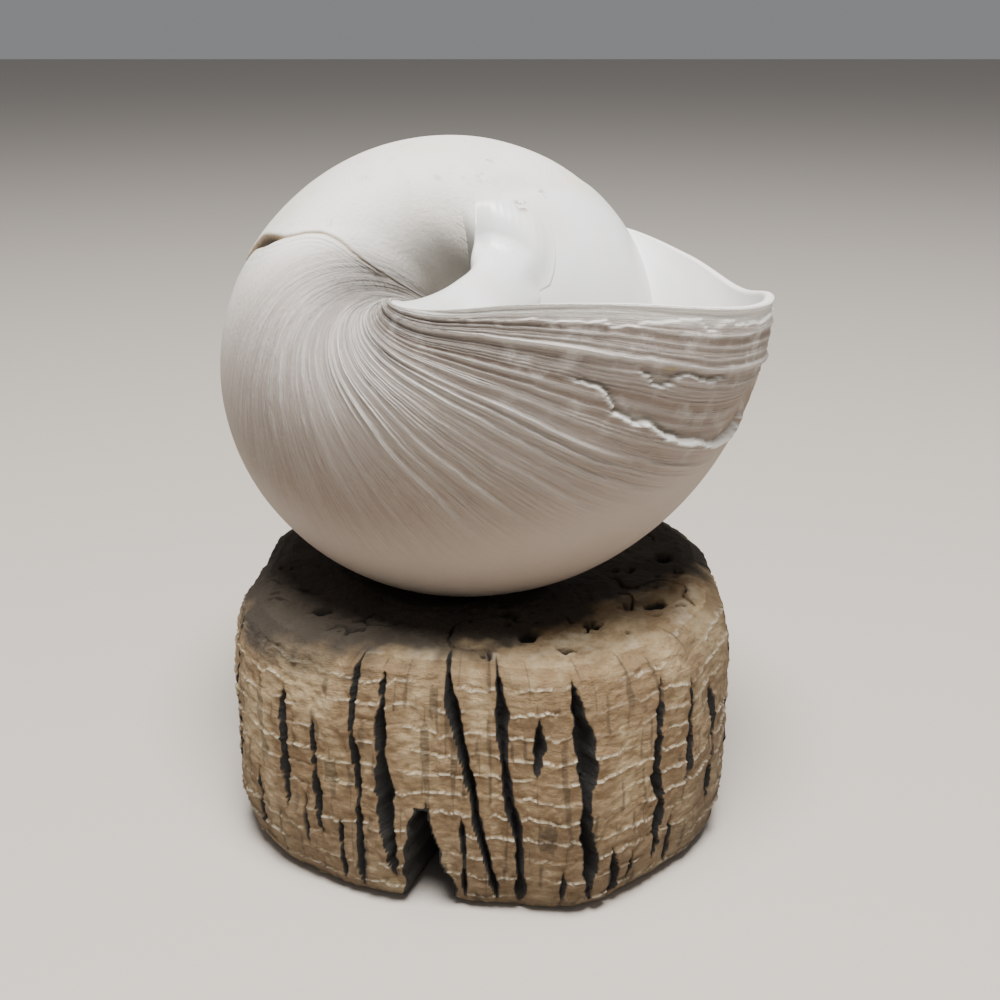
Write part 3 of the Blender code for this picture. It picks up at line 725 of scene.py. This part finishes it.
def outline_radius(direction):
    """Distance of the stand's side from its middle, a rounded square with soft lumps."""
    turn = np.radians(direction)
    behind = smoothstep(0.2, -0.2, np.cos(turn))
    depth = STAND_FRONT + (STAND_BACK - STAND_FRONT) * behind
    power = FRONT_SQUARENESS + (BACK_SQUARENESS - FRONT_SQUARENESS) * behind
    radius = (np.abs(np.sin(turn) / STAND_HALF_WIDTH) ** power
              + np.abs(np.cos(turn) / depth) ** power) ** (-1 / power)
    for middle, half, rise in OUTLINE_LUMPS:
        radius = radius + rise * bump(0, half, turned_apart(direction, middle))
    return radius


def profile_share(height):
    """How much of its outline the stand fills at a height."""
    heights, shares = zip(*STAND_PROFILE)
    return np.interp(height, heights, shares)


def channel_field(direction, height, widened=0.0):
    """Depth of the dark vertical channels, with ragged sides and swellings."""
    depth = np.zeros(np.broadcast(direction, height).shape)
    for number, channel in enumerate(CHANNELS + SHORT_CHANNELS):
        foot, top, low, high, half, deep = channel
        middle = foot + (top - foot) * height / STAND_HEIGHT
        middle = middle + 0.55 * noise(height / 5.0, number * 3.7, 81) * half
        swell = 0.62 + 0.5 * noise(height / 4.2, number * 5.3, 82) + 0.22 * noise(height / 1.3, number, 83)
        ends = smoothstep(low - 1, low + 4, height) * smoothstep(high + 2, high - 4, height)
        width = half * np.clip(swell, 0.18, 1.3) * (0.25 + 0.75 * ends) + 1e-6
        away = turned_apart(direction, middle)
        edge = width * 1.15 + widened * ends
        depth = np.maximum(depth, deep * ends * smoothstep(edge, width * 0.45, away))
    return depth


def layer_field(direction, height):
    """Saw-toothed relief of the cork's yearly layers, and a mask on their sharp pale edges."""
    block = np.floor((direction + 5.5 * noise(direction / 14, 0.0, 91)) / 11.5)
    shift = 0.55 * noise(block * 1.7, 0.0, 92)
    wave = 0.80 * noise(direction / 9, height / 9, 93) + 0.42 * noise(direction / 1.9, height / 6, 94)
    phase = (height + shift + wave + 0.35 * noise(direction / 31, 0.0, 95)) / LAYER_STEP
    number = np.floor(phase)
    share = phase - number
    strength = np.clip(0.5 + 0.75 * noise(direction / 7, number * 2.3, 96), 0, 1)
    step = 0.42 * strength * (share - 0.5)
    edge = np.exp(-((1 - share) / 0.055) ** 2)
    return step + 0.22 * strength * edge, edge * np.clip(1.8 * strength - 0.35, 0, 1)


def notch_field(direction, height, radius, margin=0.0):
    """1 inside the arched opening in the lower front edge, or also a margin round it."""
    x = radius * np.sin(np.radians(direction)) - NOTCH_PLACE
    heights, lefts, rights = zip(*NOTCH_OUTLINE)
    left = np.interp(height, heights, lefts) + 0.35 * noise(height / 2.1, 0.0, 102) - margin
    right = np.interp(height, heights, rights) + 0.5 * noise(height / 1.7, 0.0, 101) + margin
    front = np.cos(np.radians(direction)) > 0
    inside = smoothstep(left - 0.3, left + 0.3, x) * smoothstep(right + 0.3, right - 0.3, x)
    return inside * (height < heights[-1] + margin) * front


def side_columns():
    """Directions of the side's columns, closer together on the front half."""
    front = np.linspace(-100, 100, FRONT_COLUMNS, endpoint=False)
    back = np.linspace(100, 260, BACK_COLUMNS, endpoint=False)
    return np.concatenate([front, back])


def side_points(direction, height):
    """Points of the stand's side, and its masks: hole, pale edge, stain, and painted shade with some dark
    staining.
    """
    base = outline_radius(direction) * profile_share(height)
    channel = channel_field(direction, height)
    layers, edge = layer_field(direction, height)
    notch = notch_field(direction, height, base)
    wrinkles = 0.20 * rough_noise(direction / 1.6, height / 1.1, 103, 2)
    grain = wrinkles + 0.45 * rough_noise(direction / 12, height / 10, 104)
    calm = smoothstep(0, FOOT_HEIGHT, height)
    radius = base - channel - NOTCH_DEPTH * notch + (layers + grain) * calm
    turn = np.radians(direction)
    points = np.stack([radius * np.sin(turn), -radius * np.cos(turn), height + 0 * radius], axis=-1)
    hole = channel_field(direction, height, 0.4) / 0.6 + 3.0 * notch_field(direction, height, base, 0.5)
    hole = np.clip(hole, 0, 1)
    stain = smoothstep(0.15, 0.9, 0.5 + 0.5 * rough_noise(direction / 8, height / 7, 105)
                       + 0.8 * halo(direction, height))
    streaks = smoothstep(0.42, 0.75, rough_noise(direction / 1.3, height / 7, 106, 2))
    # Painted shade: darker towards the bottom and on the right side.
    dark = 0.36 * smoothstep(24, 2, height) + 0.25 * smoothstep(5, 0, height)
    dark = dark + 0.25 * smoothstep(42, 66, direction) * smoothstep(180, 140, direction)
    # Painted shadow with dark staining along the top edge, at the back and left.
    upper = smoothstep(34.5, 38.5, height + 1.5 * rough_noise(direction / 7, height / 3, 107))
    dark = np.maximum(dark, upper * top_shadow_and_stain(points[..., 0], points[..., 1]))
    hole = np.maximum(hole, 0.42 * streaks)
    masks = np.stack([hole, np.clip(edge, 0, 1) * (1 - hole), stain, dark], axis=-1)
    return points, masks


def top_shadow_and_stain(x, y):
    """1 on the dark part of the top, at the back and left, with a soft uneven border: painted shadow of the
    shell together with dark staining.
    """
    return smoothstep(-31.5, -24, y - 0.9 * np.maximum(x - 4, 0) + 2.5 * rough_noise(x / 4, y / 4, 118))


def halo(direction, height):
    """Nearness to the channels, where the cork is stained reddish brown."""
    near = np.zeros(np.broadcast(direction, height).shape)
    for foot, top, low, high, half, deep in CHANNELS + SHORT_CHANNELS:
        middle = foot + (top - foot) * height / STAND_HEIGHT
        away = turned_apart(direction, middle)
        ends = smoothstep(low - 3, low + 3, height) * smoothstep(high + 3, high - 3, height)
        near = np.maximum(near, ends * np.exp(-(away / (2.4 * half)) ** 2))
    return near


def cork_side():
    """The stand's side, with its channels, layer lines and notch."""
    direction = side_columns()
    height = np.concatenate([np.linspace(0, FOOT_HEIGHT, 6, endpoint=False),
                             np.linspace(FOOT_HEIGHT, STAND_HEIGHT, SIDE_ROWS)])[:, None]
    points, masks = side_points(direction[None, :], height)
    faces = quad_faces(len(height), len(direction), closed=True)
    return mesh_object("cork_side", points, faces, Matrix.Scale(MM, 4), {"masks": masks})


def top_holes(x, y, settle):
    """Depth share of the pits, specks and cracks in the stand's top."""
    hole = np.zeros_like(x)
    for px, py, r in PITS:
        spread = np.hypot(x - px, y - py) * (1 + 0.35 * noise(x / 1.2, y / 1.2, 113))
        hole = np.maximum(hole, smoothstep(r * 1.05, r * 0.55, spread))
    random = np.random.default_rng(SPECK_SEED)
    for _ in range(SPECKS):
        px, py = random.uniform(-36, 36, 2)
        r = random.uniform(0.3, 0.9)
        spread = np.hypot((x - px) * random.uniform(0.6, 1.6), y - py)
        hole = np.maximum(hole, 0.8 * smoothstep(r, 0.4 * r, spread))
    cracks = smoothstep(0.90, 0.97, 1 - np.abs(rough_noise(x / 7, y / 7, 114))) * 0.7
    cracks = cracks * smoothstep(0.1, 0.4, noise(x / 9, y / 9, 115))
    return np.maximum(hole, cracks) * settle


def cork_top():
    """The stand's top, with the seat worn for the shell, pits, specks and cracks."""
    direction = side_columns()[None, :]
    rim, rim_masks = side_points(direction, np.array([[STAND_HEIGHT]]))
    rim_radius = np.hypot(rim[0, :, 0], rim[0, :, 1])
    inward = np.concatenate([np.linspace(1, 0.42, 86), np.linspace(0.40, 0.0, 14)])[:, None]
    radius = rim_radius[None, :] * inward
    turn = np.radians(direction)
    x, y = radius * np.sin(turn), -radius * np.cos(turn)
    settle = smoothstep(1.0, 0.93, inward)
    z = STAND_HEIGHT + 0.5 * settle + settle * (0.45 * rough_noise(x / 5, y / 5, 111)
                                               + 0.16 * rough_noise(x / 1.1, y / 1.1, 112))
    away = (x - SEAT_PLACE[0]) ** 2 + (y - SEAT_PLACE[1]) ** 2
    seat = STAND_HEIGHT - SEAT_DEPTH + SEAT_RADIUS - np.sqrt(np.maximum(SEAT_RADIUS ** 2 - away, 0))
    z = np.minimum(z, seat + 0.3)
    hole = top_holes(x, y, settle)
    z = z - 1.6 * hole
    points = np.stack([x, y, z], axis=-1)
    # Painted shadow of the shell with dark staining at the back and left of the top.
    dark = top_shadow_and_stain(x, y)
    stain = np.clip(0.5 + 0.5 * rough_noise(x / 6, y / 6, 116), 0, 1)
    # Painted shade over the whole top inside its rim.
    dark = np.maximum(dark, 0.30 * smoothstep(1.0, 0.9, inward) + 0 * x)
    rim_hole = np.broadcast_to(rim_masks[:, :, 0], hole.shape) * smoothstep(0.9, 1.0, inward)
    pale = np.clip(rough_noise(x / 2.2, y / 2.2, 117), 0, 1) * 0.35 * (1 - hole)
    masks = np.stack([np.maximum(hole, rim_hole), pale, stain, dark], axis=-1)
    faces = quad_faces(len(inward), direction.size, closed=True)
    return mesh_object("cork_top", points, faces, Matrix.Scale(MM, 4), {"masks": masks})


def cork_underside():
    """The stand's flat underside."""
    direction = side_columns()[None, :]
    rim, _ = side_points(direction, np.array([[0.0]]))
    inward = np.array([1.0, 0.6, 0.02])[:, None, None]
    points = rim * inward
    masks = np.zeros((3, direction.size, 4))
    masks[..., 2] = 0.5
    faces = quad_faces(3, direction.size, closed=True, flip=True)
    return mesh_object("cork_underside", points, faces, Matrix.Scale(MM, 4), {"masks": masks})


class Nodes:
    """Short calls that add shader nodes and join them."""

    def __init__(self, name):
        self.material = bpy.data.materials.new(name)
        self.material.use_nodes = True
        self.tree = self.material.node_tree
        self.shader = self.tree.nodes["Principled BSDF"]

    def put(self, node, socket, value):
        if isinstance(value, bpy.types.NodeSocket):
            self.tree.links.new(value, node.inputs[socket])
        else:
            node.inputs[socket].default_value = value

    def mix(self, factor, first, second):
        node = self.tree.nodes.new("ShaderNodeMix")
        node.data_type = "RGBA"
        self.put(node, 0, factor)
        for socket, value in ((6, first), (7, second)):
            self.put(node, socket, (*value, 1.0) if isinstance(value, tuple) else value)
        return node.outputs[2]

    def cover(self, colour, mask, strength, over):
        """The colour with another laid over it where the mask is 1, at a strength."""
        return self.mix(self.math("MULTIPLY", mask, strength), colour, over)

    def math(self, operation, first, second=0.0):
        node = self.tree.nodes.new("ShaderNodeMath")
        node.operation = operation
        self.put(node, 0, first)
        self.put(node, 1, second)
        return node.outputs[0]

    def ramp(self, value, low, high):
        """0 below low, 1 above high, smooth between."""
        node = self.tree.nodes.new("ShaderNodeMapRange")
        node.interpolation_type = "SMOOTHSTEP"
        self.put(node, 0, value)
        self.put(node, 1, low)
        self.put(node, 2, high)
        return node.outputs[0]

    def layer(self, name):
        node = self.tree.nodes.new("ShaderNodeAttribute")
        node.attribute_name = name
        split = self.tree.nodes.new("ShaderNodeSeparateColor")
        self.tree.links.new(node.outputs["Color"], split.inputs[0])
        return (*split.outputs, node.outputs["Alpha"])

    def place(self, scale=(1.0, 1.0, 1.0), source="Object"):
        coordinates = self.tree.nodes.new("ShaderNodeTexCoord")
        mapping = self.tree.nodes.new("ShaderNodeMapping")
        mapping.inputs["Scale"].default_value = scale
        self.tree.links.new(coordinates.outputs[source], mapping.inputs[0])
        return mapping.outputs[0]

    def height(self):
        """Height above the floor, in metres."""
        split = self.tree.nodes.new("ShaderNodeSeparateXYZ")
        self.tree.links.new(self.place(), split.inputs[0])
        return split.outputs[2]

    def noise(self, place, scale, detail=4.0, roughness=0.55):
        node = self.tree.nodes.new("ShaderNodeTexNoise")
        self.put(node, "Vector", place)
        self.put(node, "Scale", scale)
        self.put(node, "Detail", detail)
        self.put(node, "Roughness", roughness)
        return node.outputs[0]

    def bump(self, height, distance, strength=1.0, after=None):
        node = self.tree.nodes.new("ShaderNodeBump")
        self.put(node, "Height", height)
        self.put(node, "Distance", distance)
        self.put(node, "Strength", strength)
        if after is not None:
            self.tree.links.new(after, node.inputs["Normal"])
        return node.outputs[0]


def shell_material():
    """Chalky cream shell with fine growth lines, dirt in its cracks and a glossy callus; painted shade in the
    ridges' valleys, in the umbilicus, along broken edges and over the lower part, and a painted highlight on
    the ridges' crests.
    """
    n = Nodes("worn_shell")
    glaze, dirt, fresh, lines = n.layer("masks")
    brown, yellow, green, _ = n.layer("marks")
    valley_painted_shade, crest, stain, painted_shade_mask = n.layer("shape")
    solid = n.place()
    growth = n.place((500.0, 9.0, 1.0), "UV")
    large = n.noise(solid, 60.0, 4.0)
    medium = n.noise(solid, 260.0, 5.0)
    grain = n.noise(solid, 1500.0, 6.0, 0.65)
    hair = n.noise(growth, 1.0, 6.0, 0.65)
    low = n.ramp(n.height(), 0.095, 0.060)
    colour = n.mix(n.ramp(large, 0.35, 0.70), CHALK, CREAM)
    colour = n.cover(colour, lines, 0.35, LINED)
    # Painted shade in the valleys between the ridges.
    colour = n.cover(colour, valley_painted_shade, 0.50, VALLEY_PAINTED_SHADE)
    streaks = n.math("MULTIPLY", n.ramp(hair, 0.46, 0.62), lines)
    colour = n.cover(colour, streaks, 0.6, HAIRLINE)
    bands = n.math("MULTIPLY", stain, n.ramp(medium, 0.30, 0.5))
    colour = n.cover(colour, bands, 0.9, BAND_BROWN)
    colour = n.cover(colour, n.ramp(medium, 0.58, 0.72), 0.22, CLOUDY)
    # Painted highlight on the ridges' crests.
    colour = n.cover(colour, crest, 0.65, CREST_PAINTED_HIGHLIGHT)
    colour = n.cover(colour, glaze, 0.92, n.mix(n.ramp(large, 0.45, 0.75), PEARL, WARM_PEARL))
    # Painted shade and warm bounce light: the lower part of the shell turns brown, less where it is glazed.
    lower_painted_shade = n.math("MULTIPLY", low, n.math("SUBTRACT", 0.80, n.math("MULTIPLY", glaze, 0.35)))
    colour = n.mix(lower_painted_shade, colour, LOWER_PAINTED_SHADE)
    colour = n.mix(fresh, colour, FRESH_BREAK)
    colour = n.cover(colour, n.ramp(dirt, 0.05, 0.45), 0.85, GOLDEN)
    colour = n.cover(colour, n.ramp(dirt, 0.40, 0.85), 0.92, CRACK_DIRT)
    # Painted shade in the umbilicus and along the broken edges.
    colour = n.cover(colour, painted_shade_mask, 0.95, PAINTED_SHADE_GREY)
    specks = n.ramp(n.noise(solid, 900.0, 3.0), 0.46, 0.56)
    colour = n.cover(colour, brown, specks, SPECK_BROWN)
    colour = n.cover(colour, yellow, 0.42, PATCH_YELLOW)
    colour = n.cover(colour, green, specks, SPECK_GREEN)
    n.put(n.shader, "Base Color", colour)
    rough = n.math("SUBTRACT", 0.68, n.math("MULTIPLY", glaze, 0.34))
    n.put(n.shader, "Roughness", rough)
    chalk = n.math("MULTIPLY", n.math("SUBTRACT", 1.0, n.math("MULTIPLY", glaze, 0.93)), grain)
    normal = n.bump(n.math("MULTIPLY", lines, hair), 0.0008, 1.0)
    normal = n.bump(chalk, 0.00022, 0.8, normal)
    n.tree.links.new(normal, n.shader.inputs["Normal"])
    return n.material


def cork_material():
    """Tan cork with pale layer edges, reddish stains, black channels, and painted shade mixed with dark
    staining.
    """
    n = Nodes("weathered_cork")
    hole, pale, stain, dark = n.layer("masks")
    solid = n.place()
    flat = n.place((1.0, 1.0, 3.0))
    large = n.noise(solid, 70.0, 4.0)
    medium = n.noise(flat, 380.0, 6.0, 0.65)
    grain = n.noise(solid, 1300.0, 6.0, 0.7)
    colour = n.mix(n.ramp(large, 0.35, 0.65), CORK_LIGHT, CORK_DEEP)
    colour = n.cover(colour, n.ramp(medium, 0.44, 0.62), 0.5, CORK_PALE)
    colour = n.cover(colour, stain, 0.6, CORK_STAIN)
    colour = n.cover(colour, n.ramp(medium, 0.50, 0.36), 0.35, CORK_DUST)
    colour = n.cover(colour, n.ramp(grain, 0.54, 0.70), 0.45, CORK_GRAIN)
    colour = n.cover(colour, pale, 0.9, CORK_LINE)
    # Painted shade mixed with dark staining.
    colour = n.cover(colour, dark, 0.95, CORK_SHADE_AND_DARK_STAIN)
    colour = n.mix(n.ramp(hole, 0.12, 0.75), colour, CORK_HOLE)
    n.put(n.shader, "Base Color", colour)
    n.put(n.shader, "Roughness", 0.88)
    normal = n.bump(medium, 0.0010, 0.9)
    normal = n.bump(grain, 0.0004, 1.0, normal)
    n.tree.links.new(normal, n.shader.inputs["Normal"])
    return n.material


def floor_material():
    """Plain pale floor."""
    n = Nodes("pale_floor")
    n.put(n.shader, "Base Color", FLOOR)
    n.put(n.shader, "Roughness", 0.85)
    return n.material


def dress(piece, node, material):
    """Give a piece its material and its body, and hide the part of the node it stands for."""
    piece.data.materials.append(material)
    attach(piece, "root")
    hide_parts(node)


def make_floor():
    data = bpy.data.meshes.new("floor")
    reach = 3.0
    corners = [(-reach, -reach, 0.0), (reach, -reach, 0.0), (reach, reach, 0.0), (-reach, reach, 0.0)]
    data.from_pydata(corners, [], [(0, 1, 2, 3)])
    data.materials.append(floor_material())
    floor = bpy.data.objects.new("floor", data)
    bpy.context.scene.collection.objects.link(floor)


def area_light(name, place, target, size, energy, colour):
    data = bpy.data.lights.new(name, "AREA")
    data.shape = "DISK"
    data.size = size
    data.energy = energy
    data.color = colour
    light = bpy.data.objects.new(name, data)
    light.location = place
    light.rotation_euler = (Vector(target) - Vector(place)).to_track_quat("-Z", "Y").to_euler()
    bpy.context.scene.collection.objects.link(light)


def make_light():
    world = bpy.data.worlds.new("studio")
    world.use_nodes = True
    background = world.node_tree.nodes["Background"]
    background.inputs["Color"].default_value = SKY
    background.inputs["Strength"].default_value = SKY_STRENGTH
    bpy.context.scene.world = world
    area_light("key", (0.02, -0.20, 0.78), (0.0, 0.0, 0.07), 0.36, 16.5, (1.0, 0.99, 0.97))
    area_light("fill", (0.35, -0.8, 0.30), (0.0, 0.0, 0.05), 0.6, 0.6, (1.0, 0.90, 0.80))


def make_camera():
    data = bpy.data.cameras.new("camera")
    data.lens = CAMERA_LENS
    data.sensor_width = CAMERA_SENSOR
    camera = bpy.data.objects.new("camera", data)
    camera.location = CAMERA_PLACE
    camera.rotation_euler = (math.radians(CAMERA_TILT), 0.0, 0.0)
    bpy.context.scene.collection.objects.link(camera)
    bpy.context.scene.camera = camera


def main():
    make_camera()
    make_light()
    make_floor()
    shell = shell_material()
    for piece in make_shell():
        dress(piece, "shell", shell)
    cork = cork_material()
    for piece in (cork_side(), cork_top(), cork_underside()):
        dress(piece, "stand", cork)


main()
